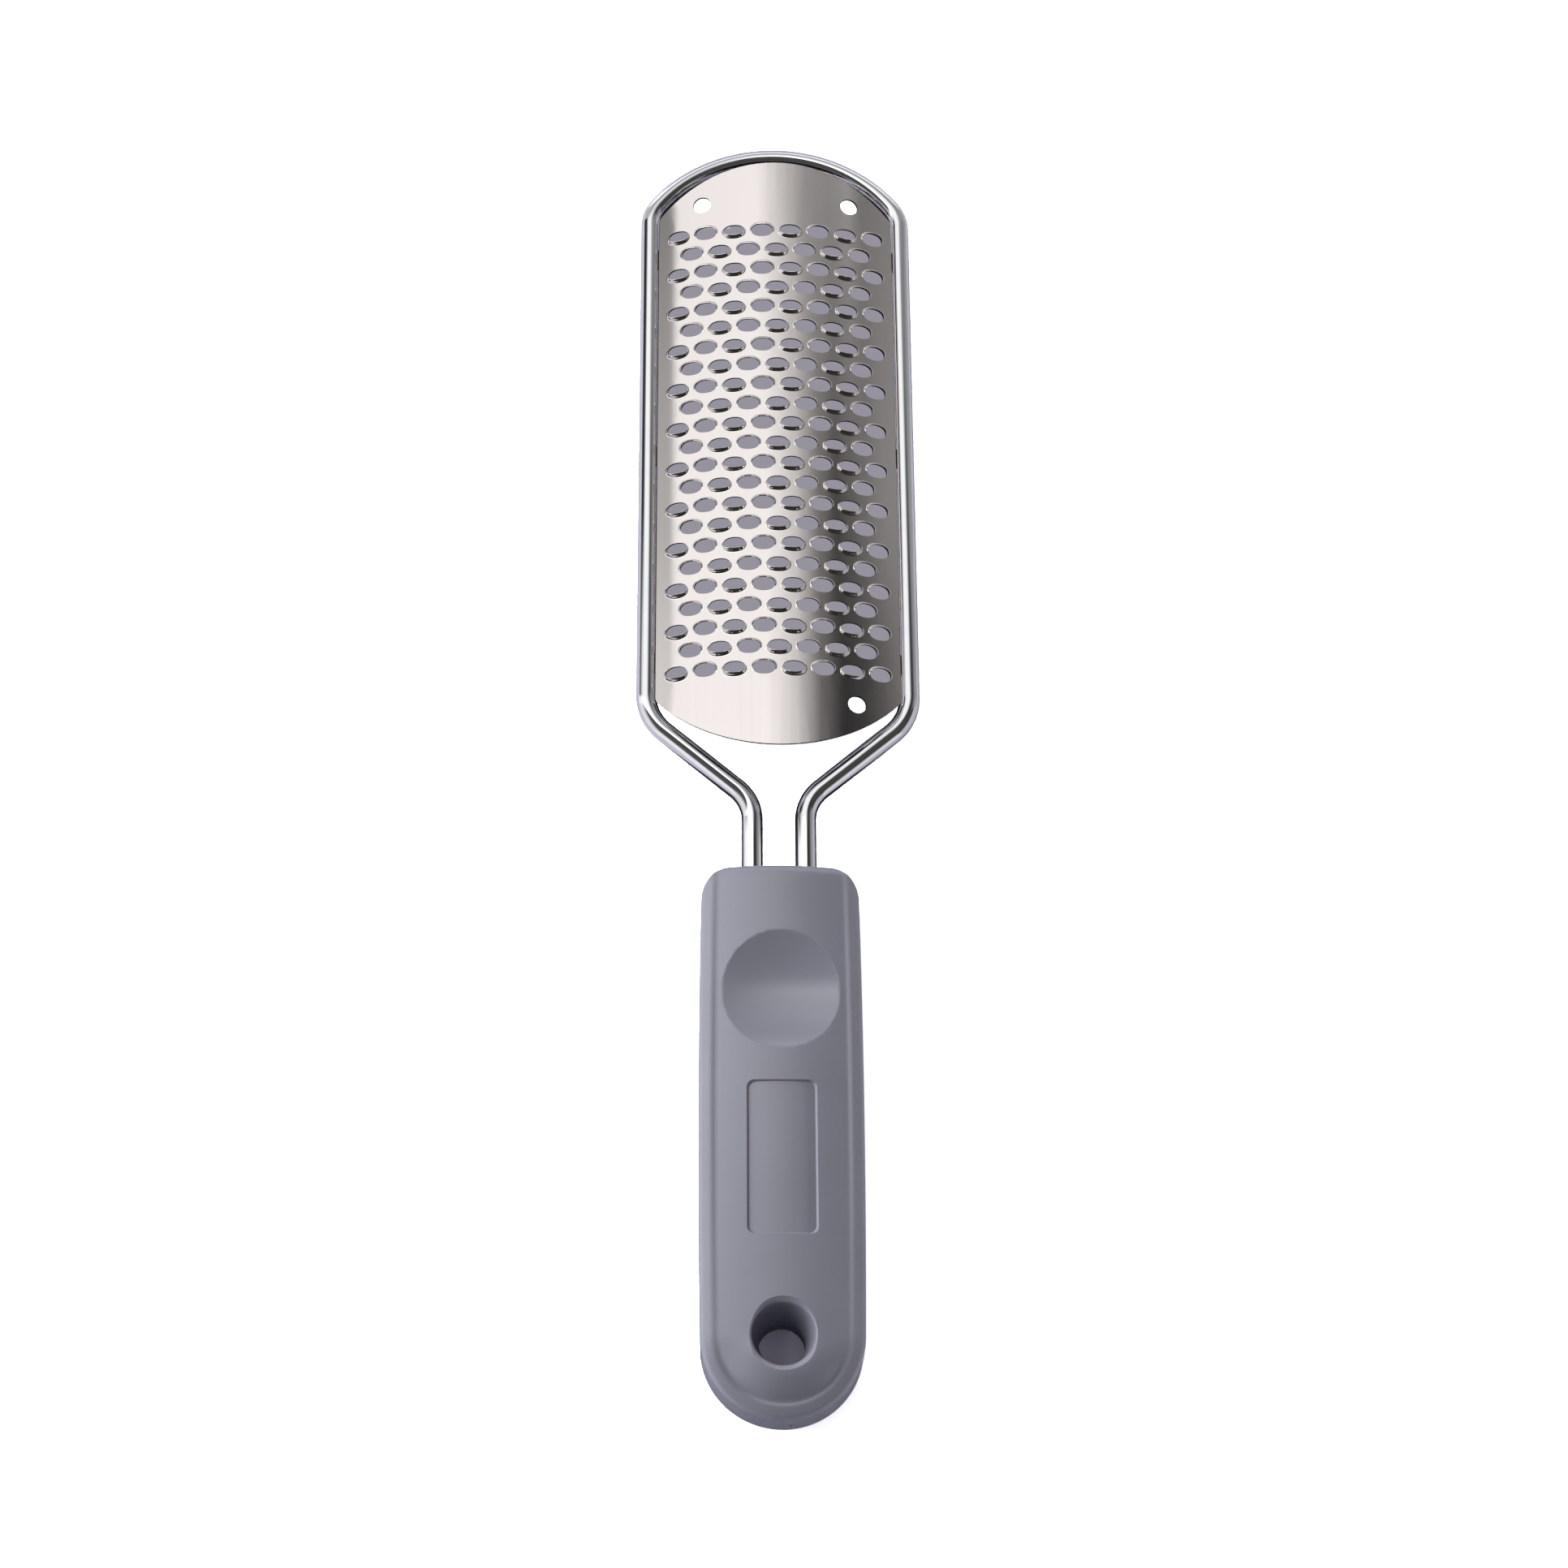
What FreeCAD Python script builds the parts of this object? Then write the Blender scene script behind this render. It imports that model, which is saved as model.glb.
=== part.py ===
import FreeCAD, Part
import math
import os

# Foot file: a bent round wire carries an arched rasp plate and runs into a soft moulded handle.
# +Y points from the handle to the tip, +X to the right, +Z out of the rasping face.
# Millimetres. The origin is under the middle of the whole tool, on the surface it lies on.

# Wire loop, all along the centre line unless it says over
wire_diameter = 4.0
loop_width = 54.0               # over the wire
leg_spacing = 10.0
tip_rise = 16.5                 # from the end of the sides to the tip
tip_corner_radius = 8.0
side_length = 110.2             # from the shoulder corner to the tip corner bend
shoulder_rise = 17.2            # from the leg corner to the shoulder corner
shoulder_radius = 10.0
leg_bend_radius = 8.5
neck_length = 15.2              # from the face of the handle to the leg corner
leg_end_chamfer = 0.4

# Rasp plate
sheet_thickness = 0.5
plate_overlap = 0.5             # how far its edge lies over the wire
plate_from_shoulder = 2.6       # from the shoulder corner to the start of the straight edges
plate_end_rise = 11.0           # how far each rounded end stands past the straight edges
plate_corner_radius = 2.0
arch_height = 4.8
tip_gap = 3.2                   # from the wire at the tip to the end of the plate
seat_gap = 0.05                 # between the plate's edge and the wire it is tacked to

# Teeth: punched openings, each with one long side pressed up into a cutting lip
tooth_opening_width = 4.5
tooth_opening_length = 2.7
tooth_bridge_across = 1.15      # sheet left between the openings of one row
tooth_bridge_along = 1.74       # sheet left between one row and the next
tooth_flat_share = 0.5          # straight part of an opening's long side, of its width
lip_height = 0.85
lip_foot = 0.45                 # how thick the lip is at the sheet, before it thins to its edge
lip_lean = 0.25                 # how far the lip closes over the opening
lip_root = 0.1                  # how deep the lip starts inside the sheet
side_margin = 3.4               # no tooth's middle comes nearer to a long edge
end_margin = 5.0                # no row comes nearer to the end of the straight edges

# Round holes near the plate's corners: two at the tip, one at the right of the handle end
corner_hole_diameter = 3.6
corner_hole_inset = 9.0         # from the long edge, along the arch
corner_hole_past_side = 1.8     # past the end of the straight edges

# Weld beads in the corner between the plate's edges and the wire
bead_width = 1.6                # along the underside of the plate, from its edge
bead_wrap = 40.0                # degrees that a bead reaches down round the wire
bead_length = 4.0
bead_place_shares = (-0.42, 0.0, 0.42)      # of the plate's straight edge, from its middle

# Handle
handle_length = 104.0
handle_width = 29.8             # at the widest
tail_narrowing = 0.4            # on each side, from the widest place to the round tail
widest_from_neck = 46.5
neck_corner_radius = 6.5
handle_thickness = 13.0         # over the crowned pads
rim_thickness = 8.6             # over the rim that runs round the pads
rim_edge_chamfer = 2.0
pad_inset = 3.1                 # at the rim's level
pad_draft = 1.5                 # how far the pad's sides lean in on their way up
pad_neck_chamfer = 1.0
pad_crown_radius = 55.0
core_width = 22.0
core_from_hang_hole = 8.5       # solid skin between the core and the hang hole
core_end_wall = 12.0            # solid core past the ends of the legs
core_thickness = 7.0
core_corner_radius = 3.0
skin_neck = 2.4                 # soft skin over the end of the core
bond_gap = 0.1                  # between the moulded pieces and what they hold

# Thumb dish in the front pad
dish_from_neck = 25.0
dish_depth = 2.0
dish_radius_along = 32.8
dish_radius_across = 66.0
dish_reach = 18.0               # half the cutter's length, more than the dish's own
dish_turn = 60.0                # degrees that the cutter spans across, more than the dish's own

# Bare rectangular recess in the front pad
recess_from_neck = 57.0
recess_width = 12.2
recess_length = 28.7
recess_depth = 0.35
recess_corner_radius = 1.0

# Hang hole, centred on the round tail
hang_hole_diameter = 8.3
hang_throat_length = 5.0        # the straight part, from the back edge on
hang_mouth_diameter = 11.2      # at the front, inside the broken edge
hang_rim_chamfer = 0.8

overrun = 1.0                   # how far a cutter runs past what it cuts

# Levels and places worked out from the sizes above
wire_radius = wire_diameter / 2
side_x = loop_width / 2 - wire_radius
leg_x = leg_spacing / 2
tip_corner_x = side_x - tip_corner_radius
tip_radius = (tip_corner_x ** 2 + tip_rise ** 2 - tip_corner_radius ** 2) / (2 * (tip_rise - tip_corner_radius))
overall_length = handle_length + neck_length + shoulder_rise + side_length + tip_rise + wire_radius
tail_y = -overall_length / 2
neck_y = tail_y + handle_length
leg_corner_y = neck_y + neck_length
shoulder_y = leg_corner_y + shoulder_rise
side_top_y = shoulder_y + side_length
tip_y = overall_length / 2
wire_z = handle_thickness / 2

plate_half = side_x - wire_radius + plate_overlap
plate_bottom_y = shoulder_y + plate_from_shoulder
plate_top_y = tip_y - wire_diameter - tip_gap - plate_end_rise
plate_side_length = plate_top_y - plate_bottom_y
plate_y = (plate_top_y + plate_bottom_y) / 2
edge_z = wire_z + math.sqrt(wire_radius ** 2 - (side_x - plate_half) ** 2) + seat_gap
arch_inner_radius = (plate_half ** 2 + arch_height ** 2) / (2 * arch_height)
arch_outer_radius = arch_inner_radius + sheet_thickness
arch_axis_z = edge_z + arch_height - arch_inner_radius
half_arc = arch_outer_radius * math.asin(plate_half / arch_outer_radius)
column_pitch = tooth_opening_width + tooth_bridge_across
row_pitch = tooth_opening_length + tooth_bridge_along

tail_radius = handle_width / 2 - tail_narrowing
tail_centre = FreeCAD.Vector(0, tail_y + tail_radius, 0)
core_top_y = neck_y - skin_neck
core_bottom_y = tail_centre.y + hang_mouth_diameter / 2 + core_from_hang_hole
leg_end_y = core_bottom_y + core_end_wall
widest_y = neck_y - widest_from_neck
crown_axis_z = wire_z + handle_thickness / 2 - pad_crown_radius

up = FreeCAD.Vector(0, 0, 1)
along = FreeCAD.Vector(0, 1, 0)
across = FreeCAD.Vector(1, 0, 0)


def point(x, y, z=0):
    return FreeCAD.Vector(x, y, z)


def mirrored(vector):
    return FreeCAD.Vector(-vector.x, vector.y, vector.z)


def line(start, end):
    return Part.LineSegment(start, end).toShape()


def arc(start, middle, end):
    return Part.Arc(start, middle, end).toShape()


def bend(before, corner, after, radius):
    # Start, middle and end of the arc that rounds a corner
    back = (before - corner).normalize()
    ahead = (after - corner).normalize()
    half_angle = back.getAngle(ahead) / 2
    run = radius / math.tan(half_angle)
    inward = (back + ahead).normalize()
    middle = corner + inward * (radius / math.sin(half_angle) - radius)
    return corner + back * run, middle, corner + ahead * run


def prism(outline, bottom, height):
    face = Part.Face(outline)
    face.translate(up * bottom)
    return face.extrude(up * height)


def cylinder(radius, start, direction, length):
    # Turned so that the seam along it lies underneath
    whole = Part.makeCylinder(radius, length, start, direction)
    whole.rotate(start, direction, 180)
    return whole


def rounded_rectangle(middle, width, length, radius):
    # Corners in turn, each rounded towards the next
    half_x = width / 2
    half_y = length / 2
    corners = [middle + point(sx * half_x, sy * half_y) for sx, sy in ((1, 1), (-1, 1), (-1, -1), (1, -1))]
    edges = []
    arcs = []
    for index, corner in enumerate(corners):
        arcs.append(bend(corners[index - 1], corner, corners[(index + 1) % len(corners)], radius))
    for index, rounded in enumerate(arcs):
        edges.append(arc(*rounded))
        edges.append(line(rounded[2], arcs[(index + 1) % len(arcs)][0]))
    return Part.Wire(edges)


def wire_path():
    # Right half from the leg's end to the tip corner, then round the tip and back down the left
    leg_end = point(leg_x, leg_end_y, wire_z)
    leg_corner = point(leg_x, leg_corner_y, wire_z)
    shoulder = point(side_x, shoulder_y, wire_z)
    side_top = point(side_x, side_top_y, wire_z)
    low = bend(leg_end, leg_corner, shoulder, leg_bend_radius)
    high = bend(leg_corner, shoulder, side_top, shoulder_radius)
    tip_centre = point(0, side_top_y + tip_rise - tip_radius, wire_z)
    corner_centre = point(tip_corner_x, side_top_y, wire_z)
    turn = math.atan2(corner_centre.y - tip_centre.y, corner_centre.x)
    joint = tip_centre + point(tip_radius * math.cos(turn), tip_radius * math.sin(turn))
    halfway = corner_centre + point(tip_corner_radius * math.cos(turn / 2), tip_corner_radius * math.sin(turn / 2))
    top = tip_centre + along * tip_radius
    right = [
        ("line", leg_end, low[0]),
        ("arc",) + low,
        ("line", low[2], high[0]),
        ("arc",) + high,
        ("line", high[2], side_top),
        ("arc", side_top, halfway, joint),
    ]
    edges = []
    for kind, *points in right:
        edges.append(line(*points) if kind == "line" else arc(*points))
    edges.append(arc(joint, top, mirrored(joint)))
    for kind, *points in reversed(right):
        points = [mirrored(p) for p in reversed(points)]
        edges.append(line(*points) if kind == "line" else arc(*points))
    return Part.Wire(edges)


def make_wire_frame():
    path = wire_path()
    start = point(leg_x, leg_end_y, wire_z)
    section = Part.Wire(Part.Circle(start, along, wire_radius).toShape())
    swept = path.makePipeShell([section], True, False)
    end_edges = [edge for edge in swept.Edges if edge.BoundBox.YMax < leg_end_y + leg_end_chamfer]
    return swept.makeChamfer(leg_end_chamfer, end_edges)


def plate_outline():
    half_side = plate_side_length / 2
    corners = [point(sx * plate_half, plate_y + sy * half_side) for sx, sy in ((1, -1), (1, 1), (-1, 1), (-1, -1))]
    top = point(0, plate_y + half_side + plate_end_rise)
    bottom = point(0, plate_y - half_side - plate_end_rise)
    outline = Part.Wire([
        line(corners[0], corners[1]),
        arc(corners[1], top, corners[2]),
        line(corners[2], corners[3]),
        arc(corners[3], bottom, corners[0]),
    ])
    return outline


def on_arch(shape, distance, y):
    # Stands a shape made at the origin on the plate's outer face
    turned = shape.copy()
    turned.translate(point(0, y, arch_outer_radius))
    turned.rotate(point(0, 0, 0), along, math.degrees(distance / arch_outer_radius))
    turned.translate(up * arch_axis_z)
    return turned


def hexagon(z, half_width, half_length):
    flat = half_width * tooth_flat_share
    corners = [(1, 0, half_width), (1, 1, flat), (-1, 1, flat), (-1, 0, half_width), (-1, -1, flat), (1, -1, flat)]
    return [point(sx * x, sy * half_length, z) for sx, sy, x in corners]


def solid_of(outlines):
    faces = [Part.Face(Part.makePolygon(points + points[:1])) for points in outlines]
    return Part.Solid(Part.Shell(faces))


def flat_sided(bottom, top):
    # Solid between two outlines with matching corners
    outlines = [bottom, top]
    for index in range(len(bottom)):
        outlines.append([bottom[index - 1], bottom[index], top[index], top[index - 1]])
    return solid_of(outlines)


def make_tooth():
    # The lip that is added to the sheet, and the opening that is cut through both.
    # The opening closes with height by the lip's lean; its named size holds at the sheet's face.
    half_width = tooth_opening_width / 2
    half_length = tooth_opening_length / 2
    outlines = []
    for z in (-sheet_thickness - overrun, -lip_root, lip_height, lip_height + overrun):
        scale = 1 - lip_lean * z / (lip_height * half_length)
        outlines.append(hexagon(z, half_width * scale, half_length * scale))
    bottom, root, rim, top = outlines
    opening = flat_sided(bottom, top)
    # Wedge from both side corners, deep in the sheet, up to a sharp edge along the opening's flat side
    side_left, side_right = root[3], root[0]
    foot_left, foot_right = [corner - along * lip_foot for corner in root[4:]]
    edge_left, edge_right = rim[4:]
    lip = solid_of([
        [side_left, foot_left, foot_right, side_right],
        [foot_left, edge_left, edge_right, foot_right],
        [side_left, edge_left, foot_left],
        [side_right, foot_right, edge_right],
        [side_left, side_right, edge_right, edge_left],
    ])
    return lip, opening


def tooth_places():
    # Every second row is shifted by half a pitch, and the lips face both ways in turn
    rows = int((plate_side_length / 2 - end_margin) / row_pitch)
    columns = int((half_arc - side_margin) / (column_pitch / 2))
    places = []
    for row in range(-rows, rows + 1):
        for column in range(-columns, columns + 1):
            if (row + rows + column + columns) % 2 == 0:
                faces_tip = column % 4 in (0, 1)
                places.append((column * column_pitch / 2, plate_y + row * row_pitch, faces_tip))
    return places


def arched_strip(length):
    # The arch's section, a little wider than the plate, drawn out along the tool
    start_y = plate_y - length / 2
    half_angle = math.asin((plate_half + overrun) / arch_outer_radius)
    rims = []
    for radius in (arch_outer_radius, arch_inner_radius):
        x = radius * math.sin(half_angle)
        z = arch_axis_z + radius * math.cos(half_angle)
        top = point(0, start_y, arch_axis_z + radius)
        rims.append((point(-x, start_y, z), top, point(x, start_y, z)))
    outer, inner = rims
    section = Part.Wire([arc(*outer), line(outer[2], inner[2]), arc(*reversed(inner)), line(inner[0], outer[0])])
    return Part.Face(section).extrude(along * length)


def make_rasp_plate():
    blank = prism(plate_outline(), edge_z - overrun, arch_height + sheet_thickness + 2 * overrun)
    corner_edges = [e for e in blank.Edges if abs(e.BoundBox.ZLength - blank.BoundBox.ZLength) < sheet_thickness]
    blank = blank.makeFillet(plate_corner_radius, corner_edges)
    strip = arched_strip(plate_side_length + 2 * (plate_end_rise + overrun))
    # As free-form faces, so that each side of a tooth meets the arch in one short edge
    sheet = strip.common(blank).toNurbs()
    lip, opening = make_tooth()
    lips = []
    openings = []
    for distance, y, faces_tip in tooth_places():
        for piece, pieces in ((lip, lips), (opening, openings)):
            placed = piece.copy()
            if not faces_tip:
                placed.rotate(point(0, 0, 0), up, 180)
            pieces.append(on_arch(placed, distance, y))
    hole = cylinder(corner_hole_diameter / 2, up * -overrun - up * sheet_thickness, up, 2 * overrun + sheet_thickness)
    hole_y = plate_side_length / 2 + corner_hole_past_side
    for side, end in ((-1, 1), (1, 1), (1, -1)):
        openings.append(on_arch(hole, side * (half_arc - corner_hole_inset), plate_y + end * hole_y))
    return sheet.fuse(lips).cut(openings)


def make_weld_beads():
    # Three-sided section in the corner between the plate's underside and the inside of the wire.
    # Two of its corners stand off the wire a little, so that the side between them just clears it.
    underside = arch_inner_radius - seat_gap
    stand_off = (wire_radius + seat_gap) / math.cos(math.radians(bead_wrap / 2))
    rise = wire_z - arch_axis_z
    apart = math.sqrt(side_x ** 2 + rise ** 2)
    reach = (stand_off ** 2 - underside ** 2 + apart ** 2) / (2 * apart)
    corner_angle = math.pi + math.atan2(rise, side_x) - math.acos(reach / stand_off)
    section = []
    for angle in (corner_angle, corner_angle + math.radians(bead_wrap)):
        section.append(point(side_x + stand_off * math.cos(angle), 0, wire_z + stand_off * math.sin(angle)))
    inner_x = plate_half - bead_width
    section.append(point(inner_x, 0, arch_axis_z + math.sqrt(underside ** 2 - inner_x ** 2)))
    beads = []
    for share in bead_place_shares:
        bead = Part.Face(Part.makePolygon(section + section[:1])).extrude(along * bead_length)
        bead.translate(along * (plate_y + share * plate_side_length - bead_length / 2))
        beads.append(bead)
        beads.append(bead.mirror(point(0, 0, 0), across))
    return Part.makeCompound(beads)


def handle_outline(inset, neck_inset, corner_radius):
    # Barrelled sides as one large arc each, a round tail and a square neck with round corners
    half = handle_width / 2
    reach = widest_y - tail_centre.y
    barrel = (reach ** 2 / (half - tail_radius) + half + tail_radius) / 2
    barrel_centre = point(half - barrel, widest_y)
    barrel_radius = barrel - inset
    tail = tail_radius - inset
    neck_line = neck_y - neck_inset
    towards_tail = (tail_centre - barrel_centre).normalize()
    join = barrel_centre + towards_tail * barrel_radius
    # The corner's arc touches the neck line and the barrel from inside
    corner_y = neck_line - corner_radius
    corner_drop = math.sqrt((barrel_radius - corner_radius) ** 2 - (corner_y - widest_y) ** 2)
    corner_centre = point(barrel_centre.x + corner_drop, corner_y)
    towards_corner = (corner_centre - barrel_centre).normalize()
    corner_side = corner_centre + towards_corner * corner_radius
    corner_top = corner_centre + along * corner_radius
    corner_middle = corner_centre + (towards_corner + along).normalize() * corner_radius
    side_middle = barrel_centre + across * barrel_radius
    edges = [
        line(mirrored(corner_top), corner_top),
        arc(corner_top, corner_middle, corner_side),
        arc(corner_side, side_middle, join),
        arc(join, tail_centre - along * tail, mirrored(join)),
        arc(mirrored(join), mirrored(side_middle), mirrored(corner_side)),
        arc(mirrored(corner_side), mirrored(corner_middle), mirrored(corner_top)),
    ]
    return Part.Wire(edges)


def make_pad():
    # Front pad: crowned across, its sides leaning in, run out through the neck end
    pad_height = (handle_thickness - rim_thickness) / 2
    lean = pad_draft / pad_height
    outlines = []
    for level in (-overrun, pad_height):
        outline = handle_outline(pad_inset + lean * level, -2 * neck_corner_radius, neck_corner_radius)
        outline.translate(up * (wire_z + rim_thickness / 2 + level))
        outlines.append(outline)
    envelope = prism(handle_outline(0, 0, neck_corner_radius), wire_z, handle_thickness / 2)
    top_edges = max(envelope.Faces, key=lambda face: face.CenterOfMass.z).Edges
    envelope = envelope.makeChamfer(pad_neck_chamfer, top_edges)
    crown = cylinder(pad_crown_radius, point(0, tail_y - overrun, crown_axis_z), along, handle_length + 2 * overrun)
    return Part.makeLoft(outlines, True, True).common(envelope).common(crown)


def make_dish():
    # Barrel-shaped cutter: one radius along the handle, a larger one across it
    floor = handle_thickness - dish_depth
    end_drop = dish_radius_along - math.sqrt(dish_radius_along ** 2 - dish_reach ** 2)
    middle = neck_y - dish_from_neck
    ends = [point(0, middle + side * dish_reach, floor + end_drop) for side in (-1, 1)]
    profile = Part.Wire([arc(ends[0], point(0, middle, floor), ends[1]), line(ends[1], ends[0])])
    axis = point(0, middle, floor + dish_radius_across)
    profile.rotate(axis, along, -dish_turn / 2)
    return Part.Face(profile).revolve(axis, along, dish_turn)


def make_recess():
    # Its floor follows the crown of the pad
    middle = point(0, neck_y - recess_from_neck)
    outline = rounded_rectangle(middle, recess_width, recess_length, recess_corner_radius)
    block = prism(outline, wire_z, handle_thickness)
    start = point(0, middle.y - recess_length, crown_axis_z)
    floor = cylinder(pad_crown_radius - recess_depth, start, along, 2 * recess_length)
    return block.cut(floor)


def make_hang_hole():
    # Straight throat at the back, a cone towards the front, a broken edge at each end
    throat = hang_hole_diameter / 2
    mouth = hang_mouth_diameter / 2
    rim = hang_rim_chamfer
    front = handle_thickness
    places = [
        (0, -overrun),
        (throat + rim + overrun, -overrun),
        (throat, rim),
        (throat, rim + hang_throat_length),
        (mouth, front - rim),
        (mouth + rim + overrun, front + overrun),
        (0, front + overrun),
    ]
    profile = [point(radius, 0, z) for radius, z in places]
    cutter = Part.Face(Part.makePolygon(profile + profile[:1])).revolve(point(0, 0, 0), up, 360)
    cutter.translate(tail_centre)
    return cutter


def core_block(clearance):
    # The core's outer shape; the grip's cavity is the same block, larger by the clearance
    middle = point(0, (core_top_y + core_bottom_y) / 2)
    outline = rounded_rectangle(middle, core_width + 2 * clearance, core_top_y - core_bottom_y + 2 * clearance,
                                core_corner_radius + clearance)
    return prism(outline, wire_z - core_thickness / 2 - clearance, core_thickness + 2 * clearance)


def leg_holes():
    start_y = leg_end_y - bond_gap
    length = neck_y - start_y + overrun
    radius = wire_radius + bond_gap
    return [cylinder(radius, point(x, start_y, wire_z), along, length) for x in (-leg_x, leg_x)]


def make_handle_core():
    return core_block(0).cut(leg_holes())


def make_handle_grip():
    rim_bottom = wire_z - rim_thickness / 2
    body = prism(handle_outline(0, 0, neck_corner_radius), rim_bottom, rim_thickness)
    flat_faces = [face for face in body.Faces if abs(face.normalAt(0, 0).z) > math.cos(math.radians(45))]
    body = body.makeChamfer(rim_edge_chamfer, [edge for face in flat_faces for edge in face.Edges])
    front_pad = make_pad()
    back_pad = front_pad.mirror(point(0, 0, wire_z), up)
    cutters = [make_dish(), make_recess(), make_hang_hole(), core_block(bond_gap)]
    return body.fuse([front_pad, back_pad]).cut(cutters + leg_holes())


def main():
    os.makedirs("parts", exist_ok=True)
    nodes = {
        "wire_frame": make_wire_frame(),
        "rasp_plate": make_rasp_plate(),
        "weld_beads": make_weld_beads(),
        "handle_core": make_handle_core(),
        "handle_grip": make_handle_grip(),
    }
    for name, shape in nodes.items():
        shape.exportStep("parts/" + name + ".step")
        print(name, len(shape.Solids), "solids", round(shape.Volume, 1), "mm3", shape.isValid())


main()
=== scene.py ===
import bpy
import bmesh
import math
from mathutils import Matrix, Vector


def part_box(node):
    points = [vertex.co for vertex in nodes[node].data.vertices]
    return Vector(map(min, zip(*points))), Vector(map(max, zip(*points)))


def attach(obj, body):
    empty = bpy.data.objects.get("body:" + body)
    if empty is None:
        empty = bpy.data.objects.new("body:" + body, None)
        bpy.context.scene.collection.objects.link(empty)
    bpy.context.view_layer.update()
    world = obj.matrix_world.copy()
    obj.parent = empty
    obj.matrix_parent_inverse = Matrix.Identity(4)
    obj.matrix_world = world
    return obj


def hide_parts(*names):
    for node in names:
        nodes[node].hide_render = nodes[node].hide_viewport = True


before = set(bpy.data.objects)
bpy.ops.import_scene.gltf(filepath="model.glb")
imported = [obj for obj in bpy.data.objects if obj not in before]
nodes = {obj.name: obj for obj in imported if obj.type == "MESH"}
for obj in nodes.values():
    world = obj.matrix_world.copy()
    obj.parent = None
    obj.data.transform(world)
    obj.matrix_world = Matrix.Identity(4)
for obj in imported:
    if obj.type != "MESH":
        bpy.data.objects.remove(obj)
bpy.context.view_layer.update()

mm = 0.001
mergeWithin = 0.002 * mm  # points closer than this become one
cutWithin = 0.0001 * mm  # points this close to a cutting plane lie on it
levelWithin = 0.001 * mm  # points this close in height are level
print("frame loaded:", ", ".join(sorted(nodes)))


def rotationAbout(centre, axis, angle):
    return Matrix.Translation(centre) @ Matrix.Rotation(angle, 4, axis) @ Matrix.Translation(-centre)


def roundOver(radius, out):
    # How far an arc has fallen at the given distance out from its top
    return radius - math.sqrt(max(0.0, radius ** 2 - out ** 2))


def edgesOf(verts):
    return list({edge for vert in verts for edge in vert.link_edges})


def drawOut(bm, edges):
    # Extrudes a ring of edges and gives the new points and the new edges
    made = bmesh.ops.extrude_edge_only(bm, edges=edges)["geom"]
    newVerts = [item for item in made if isinstance(item, bmesh.types.BMVert)]
    newEdges = [item for item in made if isinstance(item, bmesh.types.BMEdge)]
    return newVerts, newEdges


def sliceAcross(bm, places):
    # Cuts the whole mesh at each place along X, so that it can be bent there
    for x in places:
        geometry = list(bm.verts) + list(bm.edges) + list(bm.faces)
        bmesh.ops.bisect_plane(bm, geom=geometry, dist=cutWithin, plane_co=(x * mm, 0, 0), plane_no=(1, 0, 0))


def pieceFrom(bm, name, sharpAngle):
    # Closes the mesh, turns its faces outwards and hands it to the frame
    bmesh.ops.remove_doubles(bm, verts=bm.verts, dist=mergeWithin)
    bmesh.ops.recalc_face_normals(bm, faces=bm.faces)
    mesh = bpy.data.meshes.new(name)
    bm.to_mesh(mesh)
    bm.free()
    mesh.shade_smooth()
    mesh.set_sharp_from_angle(angle=math.radians(sharpAngle))
    piece = bpy.data.objects.new(name, mesh)
    bpy.context.scene.collection.objects.link(piece)
    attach(piece, "root")
    return piece


# Wire frame: one bent round wire, drawn out ring by ring along its runs and bends
wire = {
    # Centre line, corner by corner, and the radii of its bends
    "legX": 5.0, "startY": -91.95, "legCornerY": -13.35, "shoulderY": 3.85,
    "sideX": 25.0, "sideTopY": 114.05, "tipRise": 16.5, "level": 6.5,
    "legBend": 8.5, "shoulderBend": 10.0, "tipCornerBend": 8.0,
    # The stock, and the fineness of the mesh
    "radius": 2.0, "endRound": 0.4, "sides": 28, "stepDegrees": 3.5, "leastSteps": 3, "sharpAngle": 60,
}


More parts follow.
